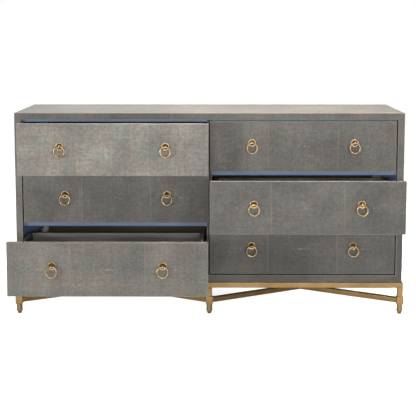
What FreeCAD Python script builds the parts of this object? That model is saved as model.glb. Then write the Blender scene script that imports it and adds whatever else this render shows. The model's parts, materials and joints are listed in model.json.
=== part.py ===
import FreeCAD, Part
import math
import os

# Double dresser: six drawers in a wrapped case on a welded metal base, in millimetres.
# X runs to the right seen from the front, Y to the back and Z up. The origin is on the
# floor under the front centre leg. Three of the drawers stand open.

# Overall sizes
BASE_WIDTH = 1524.0
BASE_DEPTH = 457.0
BASE_HEIGHT = 127.0
CASE_HEIGHT = 665.0
CASE_INSET = 5.0  # the base stands this far proud of the case all round

# Case boards
BOARD = 26.0  # top, bottom and sides
DIVIDER = 20.0
BACK_BOARD = 6.0
BACK_REBATE = 10.0  # width of the rebate that holds the back board
BACK_FIT = 0.5  # play round the back board's edges
RAIL_HEIGHT = 26.0
RAIL_DEPTH = 60.0
RAIL_DROP = 16.0  # underside of a rail below the middle of the gap that it backs
TOP_RAIL_HEIGHT = 12.0
CLEAT_WIDTH = 30.0
CLEAT_DEPTH = 18.0
BOARD_EDGE = 1.2  # chamfer along the wrapped edges

# Drawer fronts
ROWS = ("bottom", "middle", "top")
COLUMNS = ("left", "right")
FRONT_THICKNESS = 20.0
FRONT_GAP = 4.75
FRONT_STOP = 1.0  # closed front to the rails behind it

# Drawer boxes
BOX_WALL = 14.0
BOX_CLEARANCE = 8.4  # box above the rail under it
BOX_HEADROOM = 34.0  # box below the rail over it
BOTTOM_THICKNESS = 6.0
BOTTOM_GROOVE = 6.0
BOTTOM_RAISE = 10.0

# How far each open drawer is pulled out
TOP_LEFT_PULL = 125.0
MIDDLE_RIGHT_PULL = 226.0
BOTTOM_LEFT_PULL = 350.0

# Telescopic runners: three lipped channels that ride in each other
RUNNER_WIDTH = 12.7
RUNNER_HEIGHT = 45.0
RUNNER_SHEET = 1.2
RUNNER_LIP = 3.0
RUNNER_PLAY = 0.3
RUNNER_MOUTH = 2.7  # case channel short of the drawer side
RUNNER_INSET = 2.0  # runner ends short of the rails and the cleats

# Ring pulls
PULL_SPREAD = 199.0  # each pull from the middle of its front
PULL_RAISE = 13.0  # above the middle of its front
ROSETTE_RADIUS = 15.0
ROSETTE_RIM = 4.0
ROSETTE_EDGE = 2.4  # rounding of the rim
ROSETTE_DISH = 1.8  # thickness of the dish at the stem
ROSETTE_SLOPE = 2.4  # thickness half way out to the rim
STEM_RADIUS = 3.6
BALL_RADIUS = 6.2
BALL_STANDOFF = 17.0  # middle of the ball off the front
RING_OUTSIDE = 45.0
RING_WIRE = 6.0
RING_PLAY = 0.45

# Base
TUBE = 22.0
TUBE_WALL = 1.5
TUBE_CORNER = 2.0
STRETCHER = 20.0
COLLAR = 28.0
COLLAR_HEIGHT = 31.0
COLLAR_SIDE_EDGE = 1.8
COLLAR_END_EDGE = 2.6
FOOT_RADIUS = 11.5
FOOT_HEIGHT = 32.0
FOOT_ROUND = 5.0
GLIDE_RADIUS = 8.0
GLIDE_HEIGHT = 7.0
GLIDE_EDGE = 2.5
GLIDE_STEM_RADIUS = 4.0
GLIDE_STEM_LENGTH = 18.0
GLIDE_STEM_FIT = 0.2  # round the stem in its hole in the foot, and past its end
SPACER = 3.0  # pads between the base and the case
SPACER_WIDTH = 12.0
SPACER_LENGTH = 40.0
SPACER_SPREAD = 130.0  # each pad from the middle of its rail

# Places that follow from the sizes
CASE_HALF = BASE_WIDTH / 2 - CASE_INSET
CASE_FRONT = CASE_INSET - TUBE / 2
CASE_BACK = CASE_FRONT + BASE_DEPTH - 2 * CASE_INSET
CASE_FLOOR = BASE_HEIGHT + SPACER
CASE_TOP = CASE_FLOOR + CASE_HEIGHT
INSIDE_HALF = CASE_HALF - BOARD
INSIDE_FLOOR = CASE_FLOOR + BOARD
INSIDE_TOP = CASE_TOP - BOARD
INSIDE_BACK = CASE_BACK - BACK_BOARD
FRONT_REAR = CASE_FRONT + FRONT_THICKNESS
RAIL_FRONT = FRONT_REAR + FRONT_STOP
RUNNER_FRONT = RAIL_FRONT + RUNNER_INSET
RUNNER_BACK = INSIDE_BACK - CLEAT_DEPTH - RUNNER_INSET
FRONT_WIDTH = INSIDE_HALF - 1.5 * FRONT_GAP
FRONT_HEIGHT = (INSIDE_TOP - INSIDE_FLOOR - FRONT_GAP) / len(ROWS) - FRONT_GAP
FRONT_PITCH = FRONT_HEIGHT + FRONT_GAP
BOX_HEIGHT = FRONT_PITCH - RAIL_HEIGHT - BOX_CLEARANCE - BOX_HEADROOM
RING_RADIUS = (RING_OUTSIDE - RING_WIRE) / 2
LEG_X = (TUBE / 2 - BASE_WIDTH / 2, 0.0, BASE_WIDTH / 2 - TUBE / 2)
LEG_Y = (0.0, BASE_DEPTH - TUBE)
COLLAR_FLOOR = GLIDE_HEIGHT + FOOT_HEIGHT
COLLAR_MIDDLE = COLLAR_FLOOR + COLLAR_HEIGHT / 2
POST_FLOOR = COLLAR_FLOOR + COLLAR_HEIGHT
RAIL_MIDDLE = BASE_HEIGHT - TUBE / 2

PULLED_OUT = {
    "top_left": TOP_LEFT_PULL,
    "middle_right": MIDDLE_RIGHT_PULL,
    "bottom_left": BOTTOM_LEFT_PULL,
}
CUT_REACH = 1.0  # cutting shapes run this far past what they cut
SAME = 1e-6  # what lies this close counts as in line

V = FreeCAD.Vector


def box(x, y, z):
    """Box between the low and high ends of three pairs."""
    return Part.makeBox(x[1] - x[0], y[1] - y[0], z[1] - z[0], V(x[0], y[0], z[0]))


def prism(points, sweep):
    """Straight sweep of a closed outline."""
    return Part.Face(Part.makePolygon(points + points[:1])).extrude(sweep)


def rectangle(x, y):
    """Corners of a rectangle, in turn."""
    return [(x[0], y[0]), (x[1], y[0]), (x[1], y[1]), (x[0], y[1])]


def mitre_wedges(across, up, wall, place, sweep):
    """Four prisms that part the sides of a rectangular frame on its mitres."""
    outer = rectangle(*[(low - CUT_REACH, high + CUT_REACH) for low, high in (across, up)])
    inset = wall + CUT_REACH
    inner = rectangle(*[(low + inset, high - inset) for low, high in (across, up)])
    wedges = []
    for i in range(4):
        j = (i + 1) % 4
        outline = [place(*corner) for corner in (outer[i], outer[j], inner[j], inner[i])]
        wedges.append(prism(outline, sweep))
    return wedges


def runs_along(edge, axis):
    """Whether a straight edge lies along an axis."""
    return edge.tangentAt(edge.FirstParameter).cross(axis).Length < SAME


def lies_at(edge, axis, height):
    """Whether an edge lies in the plane at this height along an axis."""
    return all(abs(vertex.Point.dot(axis) - height) < SAME for vertex in edge.Vertexes)


def moved(solids, offset):
    return [solid.translated(offset) for solid in solids]


def case_shell():
    """The four wrapped boards of the case as one ring, before they are mitred apart."""
    outer = box((-CASE_HALF, CASE_HALF), (CASE_FRONT, CASE_BACK), (CASE_FLOOR, CASE_TOP))
    hollow = box((-INSIDE_HALF, INSIDE_HALF), (CASE_FRONT, CASE_BACK), (INSIDE_FLOOR, INSIDE_TOP))
    shell = outer.cut(hollow)
    along = V(0, 1, 0)
    wrapped = [edge for edge in shell.Edges if lies_at(edge, along, CASE_FRONT)]
    for edge in shell.Edges:
        if runs_along(edge, along) and abs(edge.CenterOfMass.x) > INSIDE_HALF + BOARD / 2:
            wrapped.append(edge)
    rebate = box(
        (-INSIDE_HALF - BACK_REBATE, INSIDE_HALF + BACK_REBATE),
        (INSIDE_BACK, CASE_BACK),
        (INSIDE_FLOOR - BACK_REBATE, INSIDE_TOP + BACK_REBATE),
    )
    return shell.makeChamfer(BOARD_EDGE, wrapped).cut(rebate)


def case_boards():
    """Bottom, right side, top and left side, mitred at the corners."""
    start = CASE_FRONT - CUT_REACH
    sweep = V(0, CASE_BACK + CUT_REACH - start, 0)
    sides = (-CASE_HALF, CASE_HALF)
    wedges = mitre_wedges(sides, (CASE_FLOOR, CASE_TOP), BOARD, lambda x, z: V(x, start, z), sweep)
    shell = case_shell()
    return [shell.common(wedge).Solids[0] for wedge in wedges]


def back_panel():
    reach = BACK_REBATE - BACK_FIT
    return box(
        (-INSIDE_HALF - reach, INSIDE_HALF + reach),
        (INSIDE_BACK, CASE_BACK),
        (INSIDE_FLOOR - reach, INSIDE_TOP + reach),
    )


def centre_divider():
    return box((-DIVIDER / 2, DIVIDER / 2), (RAIL_FRONT, INSIDE_BACK), (INSIDE_FLOOR, INSIDE_TOP))


def column_walls(column):
    """Low and high X of the space for one column of drawers."""
    if column == "left":
        return -INSIDE_HALF, -DIVIDER / 2
    return DIVIDER / 2, INSIDE_HALF


def gap_middle(row):
    """Height of the middle of the gap under a row of fronts, counted from the bottom."""
    return INSIDE_FLOOR + FRONT_GAP / 2 + row * FRONT_PITCH


def drawer_rails():
    """Cross rails behind the gaps between the fronts, and one under the top panel."""
    levels = [(INSIDE_TOP - TOP_RAIL_HEIGHT, INSIDE_TOP)]
    for row in range(1, len(ROWS)):
        underside = gap_middle(row) - RAIL_DROP
        levels.append((underside, underside + RAIL_HEIGHT))
    depth = (RAIL_FRONT, RAIL_FRONT + RAIL_DEPTH)
    return [box(column_walls(column), depth, level) for column in COLUMNS for level in levels]


def rear_cleat(side):
    """Upright cleat in an outer back corner, on the left for -1 and on the right for 1."""
    x = sorted((side * INSIDE_HALF, side * (INSIDE_HALF - CLEAT_WIDTH)))
    return box(x, (INSIDE_BACK - CLEAT_DEPTH, INSIDE_BACK), (INSIDE_FLOOR, INSIDE_TOP))


def box_floor(row):
    """Underside of the drawer boxes in a row."""
    return gap_middle(row) - RAIL_DROP + RAIL_HEIGHT + BOX_CLEARANCE


def both_halves(upper):
    """Outline from its upper half, mirrored about the middle."""
    return upper + [(across, -up) for across, up in reversed(upper)]


def channel_outline(start, end, height):
    """Lipped channel that opens towards the drawer."""
    inside = height - RUNNER_SHEET
    lip = inside - RUNNER_LIP
    return both_halves([
        (start, height),
        (end, height),
        (end, lip),
        (end - RUNNER_SHEET, lip),
        (end - RUNNER_SHEET, inside),
        (start + RUNNER_SHEET, inside),
    ])


def hat_outline(start, end, foot, neck):
    """Drawer member: a channel with feet that turn out behind the lips it rides in."""
    return both_halves([
        (end - RUNNER_SHEET, neck - RUNNER_SHEET),
        (start, neck - RUNNER_SHEET),
        (start, foot),
        (start + RUNNER_SHEET, foot),
        (start + RUNNER_SHEET, neck),
        (end, neck),
    ])


def runner_outlines():
    """Outlines of the case, intermediate and drawer members, in order, off the case wall."""
    step = RUNNER_SHEET + RUNNER_PLAY
    half = RUNNER_HEIGHT / 2
    end = RUNNER_WIDTH - RUNNER_MOUTH
    neck = half - step - RUNNER_SHEET - RUNNER_LIP - RUNNER_PLAY
    return (
        channel_outline(0, end, half),
        channel_outline(step, end - step, half - step),
        hat_outline(2 * step, RUNNER_WIDTH, half - 2 * step, neck),
    )


def runner_pair(outline, column, row):
    """One member on both sides of a drawer, with the drawer shut."""
    low, high = column_walls(column)
    middle = box_floor(row) + BOX_HEIGHT / 2
    sweep = V(0, RUNNER_BACK - RUNNER_FRONT, 0)
    left = [V(low + across, RUNNER_FRONT, middle + up) for across, up in outline]
    right = [V(high - across, RUNNER_FRONT, middle + up) for across, up in outline]
    return [prism(left, sweep), prism(right, sweep)]


def front_left(column):
    """X of the left edge of the fronts in a column."""
    return FRONT_GAP - INSIDE_HALF if column == "left" else FRONT_GAP / 2


def drawer_front(column, row):
    x = front_left(column)
    z = gap_middle(row) + FRONT_GAP / 2
    board = box((x, x + FRONT_WIDTH), (CASE_FRONT, FRONT_REAR), (z, z + FRONT_HEIGHT))
    face = [edge for edge in board.Edges if lies_at(edge, V(0, 1, 0), CASE_FRONT)]
    return board.makeChamfer(BOARD_EDGE, face)


def drawer_box(column, row):
    """Two sides, inner front, back and a bottom let into grooves in all four."""
    low, high = column_walls(column)
    x = (low + RUNNER_WIDTH, high - RUNNER_WIDTH)
    y = (FRONT_REAR, RUNNER_BACK)
    z = (box_floor(row), box_floor(row) + BOX_HEIGHT)
    within = (x[0] + BOX_WALL, x[1] - BOX_WALL)
    reach = BOX_WALL - BOTTOM_GROOVE
    bottom = box(
        (x[0] + reach, x[1] - reach),
        (y[0] + reach, y[1] - reach),
        (z[0] + BOTTOM_RAISE, z[0] + BOTTOM_RAISE + BOTTOM_THICKNESS),
    )
    walls = [
        box((x[0], within[0]), y, z),
        box((within[1], x[1]), y, z),
        box(within, (y[0], y[0] + BOX_WALL), z),
        box(within, (y[1] - BOX_WALL, y[1]), z),
    ]
    return [wall.cut(bottom) for wall in walls] + [bottom]


def pull_centres(column, row):
    """Where the two pulls of a drawer sit on the shut front."""
    x = front_left(column) + FRONT_WIDTH / 2
    z = gap_middle(row) + FRONT_PITCH / 2 + PULL_RAISE
    return [V(x + side * PULL_SPREAD, CASE_FRONT, z) for side in (-1, 1)]


def ring_hole():
    """Waisted hole along X that the ring's wire can turn in, for a ball at the origin."""
    waist = RING_WIRE / 2 + RING_PLAY
    reach = BALL_RADIUS + CUT_REACH
    mouth = waist + RING_RADIUS - math.sqrt(RING_RADIUS**2 - reach**2)
    curve = Part.Arc(V(-reach, mouth, 0), V(0, waist, 0), V(reach, mouth, 0)).toShape()
    sides = Part.makePolygon([V(reach, mouth, 0), V(reach, 0, 0), V(-reach, 0, 0), V(-reach, mouth, 0)])
    face = Part.Face(Part.Wire([curve] + sides.Edges))
    return face.revolve(V(0, 0, 0), V(1, 0, 0), 360)


def pull_rosette():
    """Dished rosette with its stem and drilled ball, turned about Y, standing off the origin."""
    rim = ROSETTE_RADIUS - ROSETTE_EDGE
    shoulder = ROSETTE_RIM - ROSETTE_EDGE
    corner = ROSETTE_EDGE * math.sqrt(0.5)
    slope = V((rim + STEM_RADIUS) / 2, -ROSETTE_SLOPE, 0)
    neck = BALL_STANDOFF - math.sqrt(BALL_RADIUS**2 - STEM_RADIUS**2)
    tip = BALL_STANDOFF + BALL_RADIUS
    edges = [
        Part.makeLine(V(0, 0, 0), V(ROSETTE_RADIUS, 0, 0)),
        Part.makeLine(V(ROSETTE_RADIUS, 0, 0), V(ROSETTE_RADIUS, -shoulder, 0)),
        Part.Arc(
            V(ROSETTE_RADIUS, -shoulder, 0),
            V(rim + corner, -shoulder - corner, 0),
            V(rim, -ROSETTE_RIM, 0),
        ).toShape(),
        Part.Arc(V(rim, -ROSETTE_RIM, 0), slope, V(STEM_RADIUS, -ROSETTE_DISH, 0)).toShape(),
        Part.makeLine(V(STEM_RADIUS, -ROSETTE_DISH, 0), V(STEM_RADIUS, -neck, 0)),
        Part.Arc(V(STEM_RADIUS, -neck, 0), V(BALL_RADIUS, -BALL_STANDOFF, 0), V(0, -tip, 0)).toShape(),
        Part.makeLine(V(0, -tip, 0), V(0, 0, 0)),
    ]
    turned = Part.Face(Part.Wire(edges)).revolve(V(0, 0, 0), V(0, 1, 0), 360)
    return turned.cut(ring_hole().translated(V(0, -BALL_STANDOFF, 0)))


def ring(centre):
    """Ring that hangs with its wire through the ball of the rosette at this place."""
    middle = centre + V(0, -BALL_STANDOFF, -RING_RADIUS)
    return Part.makeTorus(RING_RADIUS, RING_WIRE / 2, middle, V(0, 1, 0))


def square_bar(size, length):
    """Solid square bar along X from the origin."""
    return Part.makeBox(length, size, size, V(0, -size / 2, -size / 2))


def square_tube(size, length):
    """Square tube along X from the origin, with rounded corners."""
    bar = square_bar(size, length)
    corners = [edge for edge in bar.Edges if runs_along(edge, V(1, 0, 0))]
    return bar.makeFillet(TUBE_CORNER, corners).cut(square_bar(size - 2 * TUBE_WALL, length))


def turned(shape, axis, angle, place):
    """A copy turned about an axis through the origin and then moved."""
    return shape.rotated(V(0, 0, 0), axis, angle).translated(place)


def base_rails():
    """Front, right, rear and left rails mitred into a frame, and a cross rail in the middle."""
    x = (-BASE_WIDTH / 2, BASE_WIDTH / 2)
    y = (-TUBE / 2, BASE_DEPTH - TUBE / 2)
    floor = BASE_HEIGHT - TUBE - CUT_REACH
    sweep = V(0, 0, TUBE + 2 * CUT_REACH)
    wedges = mitre_wedges(x, y, TUBE, lambda px, py: V(px, py, floor), sweep)
    up = V(0, 0, 1)
    long_rail = square_tube(TUBE, BASE_WIDTH)
    end_rail = square_tube(TUBE, BASE_DEPTH)
    rails = [
        long_rail.translated(V(x[0], LEG_Y[0], RAIL_MIDDLE)),
        turned(end_rail, up, 90, V(LEG_X[2], y[0], RAIL_MIDDLE)),
        long_rail.translated(V(x[0], LEG_Y[1], RAIL_MIDDLE)),
        turned(end_rail, up, 90, V(LEG_X[0], y[0], RAIL_MIDDLE)),
    ]
    mitred = [rail.common(wedge) for rail, wedge in zip(rails, wedges)]
    cross_rail = square_tube(TUBE, BASE_DEPTH - 2 * TUBE)
    return mitred + [turned(cross_rail, up, 90, V(LEG_X[1], y[0] + TUBE, RAIL_MIDDLE))]


def leg_places():
    return [V(x, y, 0) for x in LEG_X for y in LEG_Y]


def leg_post():
    """Length of tube from the collar up to the rail."""
    tube = square_tube(TUBE, BASE_HEIGHT - TUBE - POST_FLOOR)
    return turned(tube, V(0, 1, 0), -90, V(0, 0, POST_FLOOR))


def leg_collar():
    """Square block, a little wider than the post, with its edges taken off."""
    up = V(0, 0, 1)
    half = COLLAR / 2
    block = box((-half, half), (-half, half), (COLLAR_FLOOR, POST_FLOOR))
    block = block.makeChamfer(COLLAR_SIDE_EDGE, [edge for edge in block.Edges if runs_along(edge, up)])
    ends = [edge for edge in block.Edges if not runs_along(edge, up)]
    return block.makeChamfer(COLLAR_END_EDGE, ends)


def leg_foot():
    """Round foot with a rounded lower end and a hole for the glide's stem."""
    foot = Part.makeCylinder(FOOT_RADIUS, FOOT_HEIGHT, V(0, 0, GLIDE_HEIGHT))
    lower = [edge for edge in foot.Edges if lies_at(edge, V(0, 0, 1), GLIDE_HEIGHT)]
    radius = GLIDE_STEM_RADIUS + GLIDE_STEM_FIT
    hole = Part.makeCylinder(radius, GLIDE_HEIGHT + GLIDE_STEM_LENGTH + GLIDE_STEM_FIT)
    return foot.makeFillet(FOOT_ROUND, lower).cut(hole)


def floor_glide():
    """Moulded pad with the stem that holds it in the foot."""
    pad = Part.makeCylinder(GLIDE_RADIUS, GLIDE_HEIGHT)
    lower = [edge for edge in pad.Edges if lies_at(edge, V(0, 0, 1), 0)]
    stem = Part.makeCylinder(GLIDE_STEM_RADIUS, GLIDE_STEM_LENGTH, V(0, 0, GLIDE_HEIGHT))
    return pad.makeChamfer(GLIDE_EDGE, lower).fuse(stem)


def at_legs(solid):
    return [solid.translated(place) for place in leg_places()]


def x_stretchers():
    """Under each column a bar from corner to corner, and two half bars welded to its sides."""
    run = LEG_X[1] - LEG_X[0]
    rise = LEG_Y[1] - LEG_Y[0]
    angle = math.degrees(math.atan2(rise, run))
    length = math.hypot(run, rise)
    up = V(0, 0, 1)
    bars = []
    for left in LEG_X[:2]:
        front = V(left, LEG_Y[0], COLLAR_MIDDLE)
        rear = V(left, LEG_Y[1], COLLAR_MIDDLE)
        between_collars = box(
            (left + COLLAR / 2, left + run - COLLAR / 2),
            (LEG_Y[0] - COLLAR, LEG_Y[1] + COLLAR),
            (COLLAR_FLOOR, POST_FLOOR),
        )
        whole = turned(square_tube(STRETCHER, length), up, angle, front).common(between_collars)
        halves = turned(square_tube(STRETCHER, length), up, -angle, rear).common(between_collars)
        halves = halves.cut(turned(square_bar(STRETCHER, length), up, angle, front))
        bars += [whole] + halves.Solids
    return bars


def base_spacers():
    """Pads on the end rails and the cross rail, set in from the edges of the case."""
    middle = (LEG_Y[0] + LEG_Y[1]) / 2
    pads = []
    for x in (LEG_X[0] + CASE_INSET, LEG_X[1], LEG_X[2] - CASE_INSET):
        for y in (middle - SPACER_SPREAD, middle + SPACER_SPREAD):
            across = (x - SPACER_WIDTH / 2, x + SPACER_WIDTH / 2)
            along = (y - SPACER_LENGTH / 2, y + SPACER_LENGTH / 2)
            pads.append(box(across, along, (BASE_HEIGHT, CASE_FLOOR)))
    return pads


def save(name, solids):
    Part.makeCompound(solids).exportStep("parts/" + name + ".step")


def save_case():
    for name, board in zip(("bottom_panel", "right_side_panel", "top_panel", "left_side_panel"), case_boards()):
        save(name, [board])
    save("back_panel", [back_panel()])
    save("centre_divider", [centre_divider()])
    save("drawer_rails", drawer_rails())
    save("left_rear_cleat", [rear_cleat(-1)])
    save("right_rear_cleat", [rear_cleat(1)])


def save_base():
    save("base_rails", base_rails())
    save("leg_posts", at_legs(leg_post()))
    save("leg_collars", at_legs(leg_collar()))
    save("leg_feet", at_legs(leg_foot()))
    save("floor_glides", at_legs(floor_glide()))
    save("x_stretchers", x_stretchers())
    save("base_spacers", base_spacers())


def save_drawers():
    case_member, intermediate_member, drawer_member = runner_outlines()
    rosette = pull_rosette()
    case_runners = []
    for column in COLUMNS:
        for row, row_name in enumerate(ROWS):
            place = row_name + "_" + column
            pulled = V(0, -PULLED_OUT.get(place, 0.0), 0)
            centres = pull_centres(column, row)
            case_runners += runner_pair(case_member, column, row)
            linked = runner_pair(intermediate_member, column, row)
            save(place + "_intermediate_runners", moved(linked, pulled / 2))
            save(place + "_drawer_runners", moved(runner_pair(drawer_member, column, row), pulled))
            save(place + "_drawer_front", moved([drawer_front(column, row)], pulled))
            save(place + "_drawer_box", moved(drawer_box(column, row), pulled))
            save(place + "_pull_rosettes", [rosette.translated(centre + pulled) for centre in centres])
            for side, centre in zip(("left", "right"), centres):
                save(place + "_ring_" + side, [ring(centre + pulled)])
    save("case_runners", case_runners)


os.makedirs("parts", exist_ok=True)
save_case()
save_base()
save_drawers()
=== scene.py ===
import json
import math
import random

import bmesh
import bpy
from mathutils import Matrix, Vector


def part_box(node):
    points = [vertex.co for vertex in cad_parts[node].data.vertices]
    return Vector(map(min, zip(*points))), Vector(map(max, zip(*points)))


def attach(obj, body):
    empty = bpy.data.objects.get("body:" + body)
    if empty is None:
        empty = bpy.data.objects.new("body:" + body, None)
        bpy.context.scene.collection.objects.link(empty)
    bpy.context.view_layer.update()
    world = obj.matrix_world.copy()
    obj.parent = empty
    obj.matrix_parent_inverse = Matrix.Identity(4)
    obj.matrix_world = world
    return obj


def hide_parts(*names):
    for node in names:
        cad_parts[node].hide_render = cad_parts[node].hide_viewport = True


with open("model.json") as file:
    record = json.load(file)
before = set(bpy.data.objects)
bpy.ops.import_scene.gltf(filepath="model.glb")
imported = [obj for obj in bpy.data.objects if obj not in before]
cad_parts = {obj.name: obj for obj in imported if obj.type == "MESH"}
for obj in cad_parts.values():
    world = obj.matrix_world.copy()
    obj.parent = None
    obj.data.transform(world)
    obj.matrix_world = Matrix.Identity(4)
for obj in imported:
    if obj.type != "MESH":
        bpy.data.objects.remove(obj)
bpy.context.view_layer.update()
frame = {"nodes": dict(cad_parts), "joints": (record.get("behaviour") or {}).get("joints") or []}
random.seed(6208)


# Base frame
# Square steel tube, mitred into an oblong with a cross rail in the middle. It is welded,
# ground flush at the corners and plated in brushed gold.
MM = 0.001
TUBE = 22 * MM
TUBE_CORNER = 2.2 * MM
SHARP_ANGLE = 0.6
MERGE_DISTANCE = 0.001 * MM
GOLD_BRIGHT = (0.126, 0.083, 0.036, 1)
GOLD_DEEP = (0.093, 0.058, 0.023, 1)
GOLD_ROUGHNESS = (0.36, 0.54)
SCRATCH_STRETCH = (9, 1500, 1500)
SCRATCH_DEPTH = 0.1 * MM
ALONG_X = (0, 0, 0)
ALONG_Y = (0, 0, -math.pi / 2)
ALONG_Z = (0, math.pi / 2, 0)


def shader_node(tree, kind, inputs=None, **options):
    """Adds a node with its options set and its inputs filled with values or links."""
    made = tree.nodes.new(kind)
    for option, value in options.items():
        setattr(made, option, value)
    for socket, value in (inputs or {}).items():
        if isinstance(value, bpy.types.NodeSocket):
            tree.links.new(value, made.inputs[socket])
        else:
            made.inputs[socket].default_value = value
    return made


def blend_colours(tree, share, first, second):
    """Colour between two colours by a share from 0 to 1."""
    made = shader_node(tree, "ShaderNodeMix", {0: share, 6: first, 7: second}, data_type="RGBA")
    return made.outputs[2]


def spread(tree, value, low, high, start=0.0, end=1.0):
    """A value from one range carried over to another, and held there."""
    made = shader_node(
        tree,
        "ShaderNodeMapRange",
        {"Value": value, "From Min": start, "From Max": end, "To Min": low, "To Max": high},
    )
    return made.outputs["Result"]


def opened_out(tree, value, start, end):
    """A value whose range from start to end is opened out to 0 to 1."""
    return spread(tree, value, 0.0, 1.0, start, end)


def noise(tree, vector, scale, detail=3.0):
    """Cloudy value from 0 to 1."""
    inputs = {"Vector": vector, "Scale": scale, "Detail": detail}
    return shader_node(tree, "ShaderNodeTexNoise", inputs).outputs["Fac"]


def aligned(tree, vector, turn):
    """Vector turned so that a pattern runs along the piece."""
    return shader_node(tree, "ShaderNodeMapping", {"Vector": vector, "Rotation": turn}).outputs[0]


def stretched(tree, vector, scale):
    """Vector scaled apart along its axes."""
    return shader_node(tree, "ShaderNodeMapping", {"Vector": vector, "Scale": scale}).outputs[0]


def new_effect(name, inputs, outputs):
    """Empty shader group with its ends, for an effect that several finishes share."""
    group = bpy.data.node_groups.new(name, "ShaderNodeTree")
    for socket in inputs:
        group.interface.new_socket(socket, in_out="INPUT", socket_type="NodeSocketVector")
    for socket in outputs:
        group.interface.new_socket(socket, in_out="OUTPUT", socket_type="NodeSocketFloat")
    into = group.nodes.new("NodeGroupInput").outputs
    out = group.nodes.new("NodeGroupOutput").inputs
    return group, into, out


def place_effect(tree, group, inputs):
    """Puts a shared effect into a finish, and gives its outputs."""
    return shader_node(tree, "ShaderNodeGroup", inputs, node_tree=group).outputs


def new_finish(name, **constants):
    """Material with its shader's plain values set, and the place on the piece for its patterns."""
    material = bpy.data.materials.new(name)
    material.use_nodes = True
    tree = material.node_tree
    shader = tree.nodes["Principled BSDF"]
    for socket, value in constants.items():
        shader.inputs[socket.replace("_", " ")].default_value = value
    place = tree.nodes.new("ShaderNodeTexCoord").outputs["Object"]
    return material, tree, shader, place


def bump(tree, shader, height, strength, depth):
    """Lets a height stand out of the surface."""
    inputs = {"Height": height, "Strength": strength, "Distance": depth}
    made = shader_node(tree, "ShaderNodeBump", inputs)
    tree.links.new(made.outputs["Normal"], shader.inputs["Normal"])


BRUSHING, into, out = new_effect("brushing", ["Vector"], ["Scratches", "Clouding"])
brush_lines = stretched(BRUSHING, into["Vector"], SCRATCH_STRETCH)
BRUSHING.links.new(noise(BRUSHING, brush_lines, scale=1.0), out["Scratches"])
gold_clouds = noise(BRUSHING, into["Vector"], scale=14.0, detail=5.0)
BRUSHING.links.new(opened_out(BRUSHING, gold_clouds, 0.3, 0.7), out["Clouding"])


def brushed_gold(name, turn, bright=GOLD_BRIGHT, deep=GOLD_DEEP):
    """Satin gold plating with fine scratches along one direction."""
    material, tree, shader, place = new_finish(name, Metallic=1.0)
    marks = place_effect(tree, BRUSHING, {"Vector": aligned(tree, place, turn)})
    tree.links.new(blend_colours(tree, marks["Clouding"], bright, deep), shader.inputs["Base Color"])
    tree.links.new(spread(tree, marks["Scratches"], *GOLD_ROUGHNESS), shader.inputs["Roughness"])
    bump(tree, shader, marks["Scratches"], strength=0.15, depth=SCRATCH_DEPTH)
    return material


GOLD_X = brushed_gold("gold_brushed_sideways", ALONG_X)
GOLD_Y = brushed_gold("gold_brushed_front_to_back", ALONG_Y)
GOLD_Z = brushed_gold("gold_brushed_upright", ALONG_Z)


def between(low, high):
    """Matrix that takes a unit cube to the block between two corners."""
    low, high = Vector(low), Vector(high)
    return Matrix.Translation((low + high) / 2) @ Matrix.Diagonal((*(high - low), 1))


def all_geometry(bm):
    """Every vertex, edge and face, for the operators that cut through everything."""
    return bm.verts[:] + bm.edges[:] + bm.faces[:]


def round_edges(bm, edges, radius, segments=3):
    """Rounds edges over, and marks the new faces as rims, drawn paler on the wrap as wear and
    painted highlight.
    """
    rim = bm.faces.layers.float.get("rim") or bm.faces.layers.float.new("rim")
    made = bmesh.ops.bevel(
        bm, geom=edges, offset=radius, affect="EDGES", segments=segments, profile=0.5, material=-1
    )
    for face in made["faces"]:
        face[rim] = 1.0


def sharp_edges(bm):
    """Edges at which the surface turns a corner."""
    return [edge for edge in bm.edges if edge.calc_face_angle(0.0) > SHARP_ANGLE]


def hollow_frame(low, high, wall, through):
    """Oblong frame that is open along one axis."""
    bm = bmesh.new()
    bmesh.ops.create_cube(bm, size=1.0, matrix=between(low, high))
    ends = [face for face in bm.faces if abs(face.normal[through]) > 0.5]
    bmesh.ops.inset_individual(bm, faces=ends, thickness=wall, use_even_offset=True)
    bmesh.ops.delete(bm, geom=ends, context="FACES")
    bmesh.ops.bridge_loops(bm, edges=[edge for edge in bm.edges if edge.is_boundary])
    bmesh.ops.recalc_face_normals(bm, faces=bm.faces)
    return bm


def add_bar(bm, start, end, size, corner, material=0):
    """Adds a square bar from start to end with its long edges rounded."""
    start, end = Vector(start), Vector(end)
    along = end - start
    turn = along.to_track_quat("X", "Z").to_matrix().to_4x4()
    stretch = Matrix.Diagonal((along.length, size, size, 1))
    place = Matrix.Translation((start + end) / 2) @ turn @ stretch
    corners = bmesh.ops.create_cube(bm, size=1.0, matrix=place)["verts"]
    for face in {face for vert in corners for face in vert.link_faces}:
        face.material_index = material
    edges = {edge for vert in corners for edge in vert.link_edges}
    long_edges = [
        edge
        for edge in edges
        if abs((edge.verts[1].co - edge.verts[0].co).normalized().dot(along.normalized())) > 0.99
    ]
    round_edges(bm, long_edges, corner)


def finish_piece(name, bm, body, slot, materials, *nodes):
    """Makes the object, evens its shading, ties it to its body and hides the solids it stands for.
    """
    for edge in sharp_edges(bm):
        edge.smooth = False
    mesh = bpy.data.meshes.new(name)
    bm.to_mesh(mesh)
    bm.free()
    for material in materials:
        mesh.materials.append(material)
    for face in mesh.polygons:
        face.use_smooth = True
    piece = bpy.data.objects.new(name, mesh)
    bpy.context.scene.collection.objects.link(piece)
    even = piece.modifiers.new("even_shading", "WEIGHTED_NORMAL")
    even.weight = 100
    even.keep_sharp = True
    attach(piece, body)
    if nodes:
        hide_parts(*nodes)


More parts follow.
